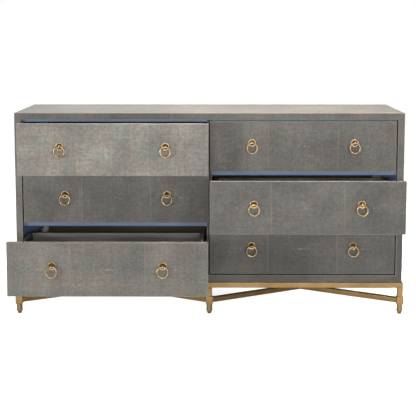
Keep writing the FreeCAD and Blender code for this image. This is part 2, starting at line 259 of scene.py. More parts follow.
base_low, base_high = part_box("base_rails")
rails = hollow_frame(base_low, base_high, TUBE, through=2)
for face in rails.faces:
    in_long_rail = base_low.x + TUBE < face.calc_center_median().x < base_high.x - TUBE
    face.material_index = 0 if in_long_rail else 1
round_edges(rails, sharp_edges(rails), TUBE_CORNER)
rail_middle = (base_low.z + base_high.z) / 2
cross_start = Vector((0, base_low.y + TUBE - TUBE_CORNER / 2, rail_middle))
cross_end = Vector((0, base_high.y - TUBE + TUBE_CORNER / 2, rail_middle))
add_bar(rails, cross_start, cross_end, TUBE, TUBE_CORNER, material=1)
finish_piece("base_frame", rails, "case", "brushed_gold", [GOLD_X, GOLD_Y], "base_rails")


# Leg posts
# Six short lengths of the same square tube, welded up under the corners of the frame and
# under the ends of its cross rail.
LEGS = [
    Vector((x, y, 0))
    for x in (base_low.x + TUBE / 2, 0.0, base_high.x - TUBE / 2)
    for y in (base_low.y + TUBE / 2, base_high.y - TUBE / 2)
]
post_low, post_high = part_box("leg_posts")
posts = bmesh.new()
for leg in LEGS:
    add_bar(posts, (leg.x, leg.y, post_low.z), (leg.x, leg.y, post_high.z), TUBE, TUBE_CORNER)
finish_piece("square_leg_posts", posts, "case", "brushed_gold", [GOLD_Z], "leg_posts")


# Leg collars
# Square solid blocks, a little wider than the posts, that take the ends of the stretchers.
# All their edges are eased before plating.
COLLAR = 28 * MM
COLLAR_EDGE = 2.4 * MM
collar_low, collar_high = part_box("leg_collars")
collars = bmesh.new()
for leg in LEGS:
    half = Vector((COLLAR / 2, COLLAR / 2, 0))
    corner = Vector((leg.x, leg.y, collar_low.z)) - half
    opposite = Vector((leg.x, leg.y, collar_high.z)) + half
    bmesh.ops.create_cube(collars, size=1.0, matrix=between(corner, opposite))
round_edges(collars, sharp_edges(collars), COLLAR_EDGE)
finish_piece("eased_leg_collars", collars, "case", "brushed_gold", [GOLD_Z], "leg_collars")


# Crossed stretchers
# Under each half of the case one square tube runs from corner to corner. Two half lengths are
# welded to its sides, and all ends to the collars. The same plating is drawn darker here as painted
# shade under the case.
STRETCHER = 20 * MM
# Gold drawn darker as painted shade under the case.
STRETCHER_SHADED_BRIGHT = (0.096, 0.061, 0.024, 1)
STRETCHER_SHADED_DEEP = (0.071, 0.043, 0.016, 1)
run = LEGS[2].x - LEGS[0].x
depth = LEGS[1].y - LEGS[0].y
slant = math.atan2(depth, run)
stretcher_z = (collar_low.z + collar_high.z) / 2
SHADED_GOLD_RISING = brushed_gold(
    "gold_brushed_on_rising_slant_in_painted_shade", (0, 0, -slant), STRETCHER_SHADED_BRIGHT, STRETCHER_SHADED_DEEP
)
SHADED_GOLD_FALLING = brushed_gold(
    "gold_brushed_on_falling_slant_in_painted_shade", (0, 0, slant), STRETCHER_SHADED_BRIGHT, STRETCHER_SHADED_DEEP
)


def cut_off(bm, point, normal):
    """Cuts away what lies on the far side of a plane and closes the cut."""
    made = bmesh.ops.bisect_plane(
        bm, geom=all_geometry(bm), plane_co=point, plane_no=normal, clear_outer=True
    )
    rim = [item for item in made["geom_cut"] if isinstance(item, bmesh.types.BMEdge)]
    bmesh.ops.edgeloop_fill(bm, edges=rim)


def merged(parts):
    """One bmesh that holds all of these."""
    whole = bmesh.new()
    for part in parts:
        mesh = bpy.data.meshes.new("part")
        part.to_mesh(mesh)
        part.free()
        whole.from_mesh(mesh)
        bpy.data.meshes.remove(mesh)
    return whole


stretcher_bars = []
rising = Vector((run / 2, depth / 2, 0))
falling = Vector((run / 2, -depth / 2, 0))
beside = Vector((-depth, run, 0)).normalized()
for left in (LEGS[0].x, LEGS[2].x):
    crossing = Vector((left + run / 2, (LEGS[0].y + LEGS[1].y) / 2, stretcher_z))
    first_end = Vector((left + COLLAR / 2, 0, 0))
    last_end = Vector((left + run - COLLAR / 2, 0, 0))
    for arm, finish, weld_side in ((rising, 0, 0), (falling, 1, 1), (falling, 1, -1)):
        bar = bmesh.new()
        add_bar(bar, crossing - arm, crossing + arm, STRETCHER, TUBE_CORNER, material=finish)
        cut_off(bar, first_end, Vector((-1, 0, 0)))
        cut_off(bar, last_end, Vector((1, 0, 0)))
        if weld_side:
            cut_off(bar, crossing + beside * weld_side * STRETCHER / 2, beside * -weld_side)
        stretcher_bars.append(bar)
finish_piece(
    "crossed_stretchers",
    merged(stretcher_bars),
    "case",
    "brushed_gold",
    [SHADED_GOLD_RISING, SHADED_GOLD_FALLING],
    "x_stretchers",
)


# Feet
# Round feet turned from solid bar, with a rounded lower end, and plated like the posts.
# Each screws up into its collar.
FOOT_RADIUS = 11.5 * MM
FOOT_ROUND = 5 * MM
foot_low, foot_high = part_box("leg_feet")


def turned(outline, steps):
    """Turns an outline of radius and height about the Z axis."""
    bm = bmesh.new()
    verts = [bm.verts.new((radius, 0, height)) for radius, height in outline]
    for first, second in zip(verts, verts[1:]):
        bm.edges.new((first, second))
    bmesh.ops.spin(
        bm,
        geom=bm.verts[:] + bm.edges[:],
        axis=(0, 0, 1),
        angle=math.tau,
        steps=steps,
        use_merge=True,
    )
    bmesh.ops.remove_doubles(bm, verts=bm.verts, dist=MERGE_DISTANCE)
    bmesh.ops.recalc_face_normals(bm, faces=bm.faces)
    return bm


def turned_pin(radius, bottom, top, rounding, steps, segments):
    """Upright pin with its lower edge rounded."""
    bm = turned([(0, bottom), (radius, bottom), (radius, top), (0, top)], steps)
    lower = [edge for edge in sharp_edges(bm) if edge.verts[0].co.z < bottom + rounding]
    round_edges(bm, lower, rounding, segments)
    return bm


def moved(bm, place):
    """The same bmesh turned and moved by a matrix."""
    bmesh.ops.transform(bm, matrix=place, verts=bm.verts)
    return bm


feet = []
for leg in LEGS:
    foot = turned_pin(FOOT_RADIUS, foot_low.z, foot_high.z, FOOT_ROUND, steps=40, segments=6)
    feet.append(moved(foot, Matrix.Translation(leg)))
finish_piece("turned_feet", merged(feet), "case", "brushed_gold", [GOLD_Z], "leg_feet")


# Floor glides
# Round pads moulded in black plastic, on stems that are pushed up into the feet. They keep the
# metal off the floor.
GLIDE_RADIUS = 8 * MM
GLIDE_EDGE = 2.5 * MM
MOULDED_BLACK = (0.012, 0.012, 0.012, 1)
MOULDED_DUST = (0.05, 0.047, 0.043, 1)
MOULDED_GRAIN = 0.1 * MM

MOULDING, into, out = new_effect("moulded skin", ["Vector"], ["Grain", "Dust"])
MOULDING.links.new(noise(MOULDING, into["Vector"], scale=900.0), out["Grain"])
dust_clouds = noise(MOULDING, into["Vector"], scale=60.0)
MOULDING.links.new(spread(MOULDING, dust_clouds, 0.0, 0.6, 0.45, 0.8), out["Dust"])


def moulded_black(name, smoothest, roughest):
    """Black plastic or rubber with a faint moulded grain."""
    material, tree, shader, place = new_finish(name, Specular_IOR_Level=0.4)
    skin = place_effect(tree, MOULDING, {"Vector": place})
    tone = blend_colours(tree, skin["Dust"], MOULDED_BLACK, MOULDED_DUST)
    tree.links.new(tone, shader.inputs["Base Color"])
    tree.links.new(spread(tree, skin["Grain"], smoothest, roughest), shader.inputs["Roughness"])
    bump(tree, shader, skin["Grain"], strength=0.3, depth=MOULDED_GRAIN)
    return material


glides = []
for leg in LEGS:
    glide = turned_pin(GLIDE_RADIUS, 0, foot_low.z, GLIDE_EDGE, steps=32, segments=3)
    glides.append(moved(glide, Matrix.Translation(leg)))
GLIDE_PLASTIC = moulded_black("glide_plastic", 0.4, 0.6)
finish_piece(
    "moulded_floor_glides", merged(glides), "case", "black_glide", [GLIDE_PLASTIC], "floor_glides"
)


# Base spacers
# Thin rubber pads glued to the frame, which lift the wrapped case off the metal. A narrow
# strip of the same rubber runs round the frame between them and closes the slit, a dark fill that
# stands in for the shade in the slit.
STRIP_INSET = 6 * MM
STRIP_WIDTH = 9 * MM
STRIP_PLAY = 0.15 * MM
SPACER_RUBBER = moulded_black("spacer_rubber", 0.65, 0.85)


def dress(node, material):
    """Gives a solid that stays in sight its finish."""
    frame["nodes"][node].material_slots[0].material = material


dress("base_spacers", SPACER_RUBBER)
strip_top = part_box("base_spacers")[1].z - STRIP_PLAY
strip_low = Vector((base_low.x + STRIP_INSET, base_low.y + STRIP_INSET, base_high.z))
strip_high = Vector((base_high.x - STRIP_INSET, base_high.y - STRIP_INSET, strip_top))
# Black strip that fills the slit and stands in for its shade.
strip = hollow_frame(strip_low, strip_high, STRIP_WIDTH, through=2)
finish_piece("dark_slit_fill_strip", strip, "case", "black_glide", [SPACER_RUBBER])


# Wrapped case
# Four boards mitred at the corners. Sheets of grey pebbled hide-like wrap are butted on the outside
# and turned over the front edges; the inside is painted slate blue, with a rebate for the back.
BOARD = 26 * MM
BOARD_EDGE = 1.6 * MM
BACK_REBATE = 10 * MM
WRAP_TURN_IN = 16 * MM
SEAM_HALF = 0.6 * MM
SEAM_DEPTH = 0.3 * MM
SEAM_PALE = 2.5 * MM
SEAM_WEAR = 0.2
TOP_SEAMS = [-454 * MM, -151 * MM, 151 * MM, 454 * MM]
DARKEST_SHEET = 0.88
LIGHTEST_SHEET = 1.12
PEARL = 2.1 * MM
PEARL_SCATTER = 0.85
PEARL_HEIGHT = 0.3 * MM
PEARL_ROUGHNESS = (0.68, 0.46)
STREAKS_ALONG = (8, 150, 150)
STREAKS_UP = (150, 150, 8)
SPINE_PEARL = 4 * MM
SPINE_STEP = 8 * MM
SPINE_REACH = 30 * MM
SPINE_PALENESS = 0.55
# Rims paler, partly as wear and partly as painted highlight where edges catch the light.
RIM_WEAR_AND_HIGHLIGHT = 0.55
HIDE_COOL = (0.0350, 0.0354, 0.0310, 1)
HIDE_WARM = (0.0418, 0.0353, 0.0296, 1)
HIDE_GROUT = (0.0180, 0.0166, 0.0140, 1)
HIDE_PALE = (0.098, 0.087, 0.071, 1)
PAINT_LIGHT = (0.066, 0.098, 0.150, 1)
PAINT_DARK = (0.051, 0.079, 0.125, 1)
PAINT_SKIN = 0.15 * MM


def maths(tree, operation, first, second=0.0):
    """Value of one plain operation on one or two values."""
    made = shader_node(tree, "ShaderNodeMath", {0: first, 1: second}, operation=operation)
    return made.outputs[0]


GRAIN, into, out = new_effect(
    "pebble grain",
    ["Vector", "Sheet"],
    ["Pearls", "Blush", "Clouds", "Mottle", "Streaks", "Spine"],
)
pearl_cells = shader_node(
    GRAIN,
    "ShaderNodeTexVoronoi",
    {"Vector": into["Vector"], "Scale": 1 / PEARL, "Randomness": PEARL_SCATTER},
)
GRAIN.links.new(spread(GRAIN, pearl_cells.outputs["Distance"], 1.0, 0.0, 0.12, 0.62), out["Pearls"])
cloud_fine = noise(GRAIN, into["Vector"], scale=110.0, detail=4.0)
cloud_middle = noise(GRAIN, into["Vector"], scale=13.0, detail=5.0)
cloud_large = noise(GRAIN, into["Vector"], scale=7.0, detail=3.0)
GRAIN.links.new(opened_out(GRAIN, cloud_middle, 0.36, 0.64), out["Blush"])
GRAIN.links.new(opened_out(GRAIN, cloud_large, 0.34, 0.66), out["Clouds"])
GRAIN.links.new(opened_out(GRAIN, cloud_fine, 0.36, 0.64), out["Mottle"])
lengthwise = noise(GRAIN, stretched(GRAIN, into["Vector"], STREAKS_ALONG), scale=1.0)
upright = noise(GRAIN, stretched(GRAIN, into["Vector"], STREAKS_UP), scale=1.0)
streak_mean = maths(GRAIN, "MULTIPLY", maths(GRAIN, "ADD", lengthwise, upright), 0.5)
GRAIN.links.new(opened_out(GRAIN, streak_mean, 0.36, 0.64), out["Streaks"])
on_sheet = shader_node(GRAIN, "ShaderNodeSeparateXYZ", {0: into["Sheet"]}).outputs
in_row = maths(GRAIN, "PINGPONG", on_sheet["X"], SPINE_STEP)
off_pearl = maths(GRAIN, "SUBTRACT", in_row, SPINE_STEP / 2)
far_squared = maths(
    GRAIN, "ADD", maths(GRAIN, "POWER", off_pearl, 2.0), maths(GRAIN, "POWER", on_sheet["Y"], 2.0)
)
from_pearl = maths(GRAIN, "SQRT", far_squared)
from_middle = maths(GRAIN, "ABSOLUTE", on_sheet["X"])
row_pearls = spread(GRAIN, from_pearl, 1.0, 0.0, SPINE_PEARL * 0.5, SPINE_PEARL)
row_fade = spread(GRAIN, from_middle, 1.0, 0.0, SPINE_REACH * 0.2, SPINE_REACH)
row_breaks = opened_out(GRAIN, cloud_fine, 0.42, 0.6)
spine = maths(GRAIN, "MULTIPLY", row_pearls, maths(GRAIN, "MULTIPLY", row_fade, row_breaks))
GRAIN.links.new(spine, out["Spine"])


def pebbled_wrap():
    """Grey wrap: fine polished pearls, cloudy dye, rims paler as wear and painted highlight, paler
    seams, a spine per sheet.
    """
    material, tree, shader, place = new_finish("pebbled_wrap", Specular_IOR_Level=0.2)
    sheet = shader_node(tree, "ShaderNodeAttribute", attribute_name="sheet").outputs["Vector"]
    rim = shader_node(tree, "ShaderNodeAttribute", attribute_name="rim").outputs["Fac"]
    tone = shader_node(tree, "ShaderNodeSeparateXYZ", {0: sheet}).outputs["Z"]
    grain = place_effect(tree, GRAIN, {"Vector": place, "Sheet": sheet})
    dye = blend_colours(tree, grain["Blush"], HIDE_COOL, HIDE_WARM)
    dyed = blend_colours(tree, spread(tree, grain["Pearls"], 0.45, 1.0), HIDE_GROUT, dye)
    clouded = maths(tree, "MULTIPLY", tone, spread(tree, grain["Clouds"], 0.78, 1.22))
    mottled = maths(tree, "MULTIPLY", clouded, spread(tree, grain["Mottle"], 0.84, 1.16))
    light = maths(tree, "MULTIPLY", mottled, spread(tree, grain["Streaks"], 0.87, 1.13))
    hide = shader_node(tree, "ShaderNodeHueSaturation", {"Color": dyed, "Value": light})
    # Rims drawn paler, partly as wear and partly as painted highlight where the edges catch the
    # light.
    rim_wear_and_highlight = maths(tree, "MULTIPLY", rim, RIM_WEAR_AND_HIGHLIGHT)
    pale_spine = maths(tree, "MULTIPLY", grain["Spine"], SPINE_PALENESS)
    pale = maths(tree, "MAXIMUM", rim_wear_and_highlight, pale_spine)
    worn_and_highlit = blend_colours(tree, pale, hide.outputs["Color"], HIDE_PALE)
    tree.links.new(worn_and_highlit, shader.inputs["Base Color"])
    tree.links.new(spread(tree, grain["Pearls"], *PEARL_ROUGHNESS), shader.inputs["Roughness"])
    height = maths(tree, "ADD", grain["Pearls"], grain["Spine"])
    bump(tree, shader, height, strength=0.55, depth=PEARL_HEIGHT)
    return material


SPRAYING, into, out = new_effect("sprayed skin", ["Vector"], ["Clouds", "Peel"])
paint_clouds = noise(SPRAYING, into["Vector"], scale=7.0, detail=5.0)
SPRAYING.links.new(opened_out(SPRAYING, paint_clouds, 0.35, 0.65), out["Clouds"])
SPRAYING.links.new(noise(SPRAYING, into["Vector"], scale=420.0, detail=2.0), out["Peel"])


def satin_paint(name, light, dark, smoothest, roughest):
    """Sprayed satin paint with a faint orange-peel skin and slow change of tone."""
    material, tree, shader, place = new_finish(name, Specular_IOR_Level=0.2)
    skin = place_effect(tree, SPRAYING, {"Vector": place})
    tree.links.new(blend_colours(tree, skin["Clouds"], light, dark), shader.inputs["Base Color"])
    tree.links.new(spread(tree, skin["Peel"], smoothest, roughest), shader.inputs["Roughness"])
    bump(tree, shader, skin["Peel"], strength=0.12, depth=PAINT_SKIN)
    return material


def press_seam(bm, axis, place, front_of):
    """Presses a narrow groove with pale flanks round the outside, where two sheets of wrap meet."""
    rim = bm.faces.layers.float.get("rim")
    normal = Vector((0, 0, 0))
    normal[axis] = 1
    for offset in (-SEAM_PALE, -SEAM_HALF, 0, SEAM_HALF, SEAM_PALE):
        bmesh.ops.bisect_plane(
            bm,
            geom=all_geometry(bm),
            dist=MERGE_DISTANCE,
            plane_co=normal * (place + offset),
            plane_no=normal,
        )
    bm.normal_update()
    for face in bm.faces:
        if abs(face.calc_center_median()[axis] - place) < SEAM_PALE:
            face[rim] = max(face[rim], SEAM_WEAR)
    groove = [vert for vert in bm.verts if abs(vert.co[axis] - place) < SEAM_HALF / 2]
    pressed = [(vert, vert.co - vert.normal * SEAM_DEPTH) for vert in groove if front_of(vert.co)]
    for vert, place_after in pressed:
        vert.co = place_after


def lay_sheets(bm, low, high, seams, axis, spine, across, tones):
    """Notes at every face corner its place on its sheet of wrap, and how light that sheet is."""
    sheet = bm.loops.layers.float_vector.new("sheet")
    ends = [low[axis], *seams, high[axis]]
    for face in bm.faces:
        number = sum(face.calc_center_median()[axis] > seam for seam in seams)
        middle = (low + high) / 2
        middle[axis] = (ends[number] + ends[number + 1]) / 2
        for loop in face.loops:
            offset = loop.vert.co - middle
            loop[sheet] = (offset[spine], offset[across], tones[number])


def sheet_tones(tone, sheets):
    """How light each sheet of one board is. No two sheets of wrap are quite alike."""
    return [tone * random.uniform(DARKEST_SHEET, LIGHTEST_SHEET) for sheet in range(sheets)]


WRAP = pebbled_wrap()
CASE_PAINT = satin_paint("slate_blue_paint", PAINT_LIGHT, PAINT_DARK, 0.34, 0.5)
top_low, top_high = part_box("top_panel")
case_low = Vector((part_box("left_side_panel")[0].x, top_low.y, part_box("bottom_panel")[0].z))
case_high = Vector((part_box("right_side_panel")[1].x, top_high.y, top_high.z))
back_low, back_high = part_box("back_panel")
inside_low = case_low + Vector((BOARD, 0, BOARD))
inside_high = case_high - Vector((BOARD, 0, BOARD))
case_middle = (case_low + case_high) / 2
UP, RIGHT = Vector((0, 0, 1)), Vector((1, 0, 0))


def case_shell():
    """The four boards as one ring with rounded edges and a rebate behind."""
    bm = bmesh.new()
    bmesh.ops.create_cube(bm, size=1.0, matrix=between(case_low, case_high))
    front = [face for face in bm.faces if face.normal.y < -0.5]
    back = [face for face in bm.faces if face.normal.y > 0.5]
    bmesh.ops.inset_individual(bm, faces=front, thickness=BOARD, use_even_offset=True)
    bmesh.ops.inset_individual(bm, faces=back, thickness=BOARD - BACK_REBATE, use_even_offset=True)
    bmesh.ops.inset_individual(bm, faces=back, thickness=0.0, depth=back_low.y - back_high.y)
    bmesh.ops.inset_individual(bm, faces=back, thickness=BACK_REBATE, use_even_offset=True)
    bmesh.ops.delete(bm, geom=front + back, context="FACES")
    bmesh.ops.bridge_loops(bm, edges=[edge for edge in bm.edges if edge.is_boundary])
    bmesh.ops.recalc_face_normals(bm, faces=bm.faces)
    from_front = [
        edge for edge in sharp_edges(bm) if min(vert.co.y for vert in edge.verts) < case_middle.y
    ]
    wrapped = [
        edge
        for edge in from_front
        if all(abs(vert.co.y - case_low.y) < MM for vert in edge.verts)
        or abs(edge.verts[0].co.x) > inside_high.x + MM
    ]
    round_edges(bm, wrapped, BOARD_EDGE)
    turn_in = Vector((0, case_low.y + WRAP_TURN_IN, 0))
    bmesh.ops.bisect_plane(bm, geom=all_geometry(bm), plane_co=turn_in, plane_no=(0, 1, 0))
    return bm


def within_boards(point):
    """Whether a point lies inside the ring of the four boards, or on its inner faces."""
    across = inside_low.x - MM < point.x < inside_high.x + MM
    upwards = inside_low.z - MM < point.z < inside_high.z + MM
    return across and upwards


def is_outside(point):
    """Whether a point is on the outside or the front of the case."""
    return not within_boards(point) or point.y < case_low.y + MM


def paint_inside(bm):
    """Gives the faces behind the turned-in wrap the inside paint."""
    for face in bm.faces:
        centre = face.calc_center_median()
        if within_boards(centre) and centre.y > case_low.y + WRAP_TURN_IN:
            face.material_index = 1


CASE_BOARDS = (
    ("top_panel", UP, RIGHT, 0, TOP_SEAMS, 1.0),
    ("bottom_panel", -UP, RIGHT, 0, TOP_SEAMS, 0.75),
    ("left_side_panel", -RIGHT, UP, 2, [case_middle.z], 1.0),
    ("right_side_panel", RIGHT, UP, 2, [case_middle.z], 0.97),
)
for node, outward, beside, axis, seams, tone in CASE_BOARDS:
    board = case_shell()
    cut_off(board, case_middle, -outward)
    for neighbour in (beside, -beside):
        corner_way = outward + neighbour
        inner_corner = Vector(
            [inside_high[i] if corner_way[i] > 0 else inside_low[i] for i in range(3)]
        )
        cut_off(board, inner_corner, neighbour - outward)
    for seam in seams:
        press_seam(board, axis, seam, is_outside)
    paint_inside(board)
    tones = sheet_tones(tone, len(seams) + 1)
    lay_sheets(board, case_low, case_high, seams, axis, 1, axis, tones)
    finish_piece("wrapped_" + node, board, "case", "shagreen_wrap", [WRAP, CASE_PAINT], node)


# Back panel
# Thin board with a brown stain, drawn darker as painted shade inside the case, let into the rebate
# behind the case. Button-head screws of bright zinc-plated steel hold it all round.
BACK_SCREW_INSET = 5 * MM
BACK_SCREWS_ACROSS = 7
BACK_SCREWS_UP = 4
SCREW_HEAD = 3.4 * MM
SCREW_HEIGHT = 1.3 * MM
SCREW_PROFILE = [(0, 0), (1, 0), (1, 0.4), (0.72, 0.9), (0.46, 1), (0.42, 0.3), (0, 0.3)]
FIBRE_STRETCH = (3, 90, 90)
PORE_STRETCH = (30, 900, 900)
PORE_ROUGHNESS = (0.5, 0.72)
PORE_DEPTH = 0.15 * MM
# Brown stain drawn darker as painted shade inside the case.
BACK_SHADED_LIGHT = (0.0137, 0.0090, 0.0038, 1)
BACK_SHADED_DARK = (0.0083, 0.0052, 0.0021, 1)
ZINC_BRIGHT = (0.42, 0.42, 0.41, 1)
ZINC_BLOOM = (0.30, 0.29, 0.26, 1)
ZINC_ROUGHNESS = (0.28, 0.42)

FIBRES, into, out = new_effect("board fibres", ["Vector"], ["Fibres", "Pores"])
long_fibres = noise(FIBRES, stretched(FIBRES, into["Vector"], FIBRE_STRETCH), scale=1.0, detail=6.0)
FIBRES.links.new(opened_out(FIBRES, long_fibres, 0.3, 0.7), out["Fibres"])
fine_pores = noise(FIBRES, stretched(FIBRES, into["Vector"], PORE_STRETCH), scale=1.0)
FIBRES.links.new(fine_pores, out["Pores"])


def fibre_board(name, light, dark, turn):
    """Stained board with long soft fibres."""
    material, tree, shader, place = new_finish(name, Specular_IOR_Level=0.2)
    board = place_effect(tree, FIBRES, {"Vector": aligned(tree, place, turn)})
    tree.links.new(blend_colours(tree, board["Fibres"], light, dark), shader.inputs["Base Color"])
    tree.links.new(spread(tree, board["Pores"], *PORE_ROUGHNESS), shader.inputs["Roughness"])
    bump(tree, shader, board["Pores"], strength=0.2, depth=PORE_DEPTH)
    return material


dress("back_panel", fibre_board("brown_back_stain_in_painted_shade", BACK_SHADED_LIGHT, BACK_SHADED_DARK, ALONG_X))


def zinc_steel():
    """Plated steel with a cloudy, slightly yellow bloom."""
    material, tree, shader, place = new_finish("zinc_steel", Metallic=1.0)
    bloom = opened_out(tree, noise(tree, place, scale=350.0), 0.35, 0.65)
    tree.links.new(blend_colours(tree, bloom, ZINC_BRIGHT, ZINC_BLOOM), shader.inputs["Base Color"])
    tree.links.new(spread(tree, bloom, *ZINC_ROUGHNESS), shader.inputs["Roughness"])
    return material


def button_head(place):
    """Domed screw head with a round drive, standing along Z before it is put in its place."""
    outline = [(SCREW_HEAD * across, SCREW_HEIGHT * up) for across, up in SCREW_PROFILE]
    return moved(turned(outline, steps=16), place)


ZINC = zinc_steel()
FACE_BACK = Matrix.Rotation(-math.pi / 2, 4, "X")
screw_low = back_low + Vector((BACK_SCREW_INSET, 0, BACK_SCREW_INSET))
screw_high = back_high - Vector((BACK_SCREW_INSET, 0, BACK_SCREW_INSET))
screw_places = set()
for step in range(BACK_SCREWS_ACROSS):
    x = screw_low.x + (screw_high.x - screw_low.x) * step / (BACK_SCREWS_ACROSS - 1)
    screw_places |= {(x, screw_low.z), (x, screw_high.z)}
for step in range(BACK_SCREWS_UP):
    z = screw_low.z + (screw_high.z - screw_low.z) * step / (BACK_SCREWS_UP - 1)
    screw_places |= {(screw_low.x, z), (screw_high.x, z)}
screws = []
for x, z in sorted(screw_places):
    screws.append(button_head(Matrix.Translation((x, back_high.y, z)) @ FACE_BACK))
finish_piece("back_panel_screws", merged(screws), "case", "runner_steel", [ZINC])


# Centre divider
# One upright board between the floor and the top of the case, glued and screwed to both. The wrap
# is turned round its front edge, and its sides are painted like the inside of the case.
DIVIDER_TONE = 0.35
low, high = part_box("centre_divider")
divider = bmesh.new()
bmesh.ops.create_cube(divider, size=1.0, matrix=between(low, high))
front_corners = [
    edge
    for edge in divider.edges
    if all(vert.co.y < low.y + MM for vert in edge.verts)
    and edge.verts[0].co.x == edge.verts[1].co.x
]
round_edges(divider, front_corners, BOARD_EDGE)
wrap_end = Vector((0, low.y + WRAP_TURN_IN, 0))
bmesh.ops.bisect_plane(divider, geom=all_geometry(divider), plane_co=wrap_end, plane_no=(0, 1, 0))
for face in divider.faces:
    face.material_index = int(face.calc_center_median().y > low.y + WRAP_TURN_IN)
lay_sheets(divider, low, high, [case_middle.z], 2, 1, 2, [DIVIDER_TONE, DIVIDER_TONE])
finish_piece(
    "wrapped_centre_divider", divider, "case", "case_interior", [WRAP, CASE_PAINT], "centre_divider"
)


# Drawer rails and rear cleats
# Cross rails behind the gaps between the fronts, rounded over in front and painted slate blue, drawn
# darker than the inside of the case as painted shade behind the fronts. Grey stained cleats stand
# upright in the rear corners. All are glued and screwed in place.
RAIL_ROUND = 4 * MM
# Darker than the case paint, as painted shade behind the fronts.
RAIL_SHADED_LIGHT = (0.027, 0.044, 0.071, 1)
RAIL_SHADED_DARK = (0.021, 0.037, 0.060, 1)
CLEAT_LIGHT = (0.15, 0.14, 0.125, 1)
CLEAT_DARK = (0.11, 0.10, 0.09, 1)
SHADED_RAIL_PAINT = satin_paint("slate_blue_paint_in_painted_shade", RAIL_SHADED_LIGHT, RAIL_SHADED_DARK, 0.42, 0.58)
CLEAT_STAIN = fibre_board("pale_cleat_stain", CLEAT_LIGHT, CLEAT_DARK, ALONG_Z)
rail_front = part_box("drawer_rails")[0].y
painted_rails = bmesh.new()
painted_rails.from_mesh(frame["nodes"]["drawer_rails"].data)
bmesh.ops.remove_doubles(painted_rails, verts=painted_rails.verts, dist=MERGE_DISTANCE)
bmesh.ops.dissolve_limit(
    painted_rails, angle_limit=math.radians(1), verts=painted_rails.verts, edges=painted_rails.edges
)
lengthwise_edges = [
    edge
    for edge in painted_rails.edges
    if all(vert.co.y < rail_front + MM for vert in edge.verts)
    and abs(edge.verts[0].co.z - edge.verts[1].co.z) < MM
]
round_edges(painted_rails, lengthwise_edges, RAIL_ROUND, segments=4)
finish_piece(
    "painted_drawer_rails", painted_rails, "case", "case_interior", [SHADED_RAIL_PAINT], "drawer_rails"
)
for node in ("left_rear_cleat", "right_rear_cleat"):
    dress(node, CLEAT_STAIN)


# Telescopic runners
# Rolled steel channels with a black electro-coat, screwed to the case and to the drawers. Three
# ride in each other at each side of a drawer, and they stay as their solids are.
RUBBED_STRETCH = (700, 5, 700)
COAT_BLACK = (0.014, 0.014, 0.015, 1)
COAT_RUBBED = (0.055, 0.055, 0.056, 1)
COAT_ROUGHNESS = (0.42, 0.3)
COAT_SKIN = 0.1 * MM


def coated_steel():
    """Black coated steel, rubbed a little bright where it slides."""
    material, tree, shader, place = new_finish("runner_steel", Specular_IOR_Level=0.6)
    sliding_marks = noise(tree, stretched(tree, place, RUBBED_STRETCH), scale=1.0)
    rubbed = spread(tree, sliding_marks, 0.0, 0.7, 0.52, 0.75)
    tree.links.new(blend_colours(tree, rubbed, COAT_BLACK, COAT_RUBBED), shader.inputs["Base Color"])
    tree.links.new(spread(tree, rubbed, *COAT_ROUGHNESS), shader.inputs["Roughness"])
    bump(tree, shader, noise(tree, place, scale=800.0), strength=0.1, depth=COAT_SKIN)
    return material


RUNNER_STEEL = coated_steel()
PLACES = [row + "_" + column for column in ("left", "right") for row in ("bottom", "middle", "top")]
dress("case_runners", RUNNER_STEEL)
for place in PLACES:
    dress(place + "_drawer_runners", RUNNER_STEEL)
    dress(place + "_intermediate_runners", RUNNER_STEEL)


# Drawer boxes
# Two sides, an inner front and a back of grey stained board, glued at the corners. A thin bottom
# of the same board is let into their grooves.
BOX_WALL = 14 * MM
BOX_EDGE = 1.2 * MM
BOTTOM_EDGE = 0.6 * MM
BOTTOM_RAISE = 10 * MM
BOTTOM_THICKNESS = 6 * MM
BOTTOM_GROOVE = 3.5 * MM
GREY_LIGHT = (0.0473, 0.0454, 0.0400, 1)
GREY_DARK = (0.0165, 0.0160, 0.0146, 1)
GREY_X = fibre_board("grey_box_stain_sideways", GREY_LIGHT, GREY_DARK, ALONG_X)
GREY_Y = fibre_board("grey_box_stain_front_to_back", GREY_LIGHT, GREY_DARK, ALONG_Y)


def add_board(bm, low, high, edge, material=0):
    """Adds a board between two corners with all its edges eased."""
    corners = bmesh.ops.create_cube(bm, size=1.0, matrix=between(low, high))["verts"]
    for face in {face for vert in corners for face in vert.link_faces}:
        face.material_index = material
    round_edges(bm, list({line for vert in corners for line in vert.link_edges}), edge, segments=2)


for place in PLACES:
    low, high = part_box(place + "_drawer_box")
    left, right = low.x + BOX_WALL, high.x - BOX_WALL
    front, back = low.y + BOX_WALL, high.y - BOX_WALL
    bottom = low.z + BOTTOM_RAISE
    drawer_box = bmesh.new()
    add_board(drawer_box, low, (left, high.y, high.z), BOX_EDGE, material=1)
    add_board(drawer_box, (right, low.y, low.z), high, BOX_EDGE, material=1)
    add_board(drawer_box, (left, low.y, low.z), (right, front, high.z), BOX_EDGE)
    add_board(drawer_box, (left, back, low.z), (right, high.y, high.z), BOX_EDGE)
    add_board(
        drawer_box,
        (left - BOTTOM_GROOVE, front - BOTTOM_GROOVE, bottom),
        (right + BOTTOM_GROOVE, back + BOTTOM_GROOVE, bottom + BOTTOM_THICKNESS),
        BOTTOM_EDGE,
    )
    finish_piece(
        place + "_grey_box",
        drawer_box,
        place + "_drawer",
        "drawer_lining",
        [GREY_X, GREY_Y],
        place + "_drawer_box",
    )


# Drawer fronts
# Boards screwed to the drawer boxes and covered with three butted sheets of the pebbled wrap,
# which is turned over all the edges.
FRONT_SEAM_SHARES = (0.315, 0.687)
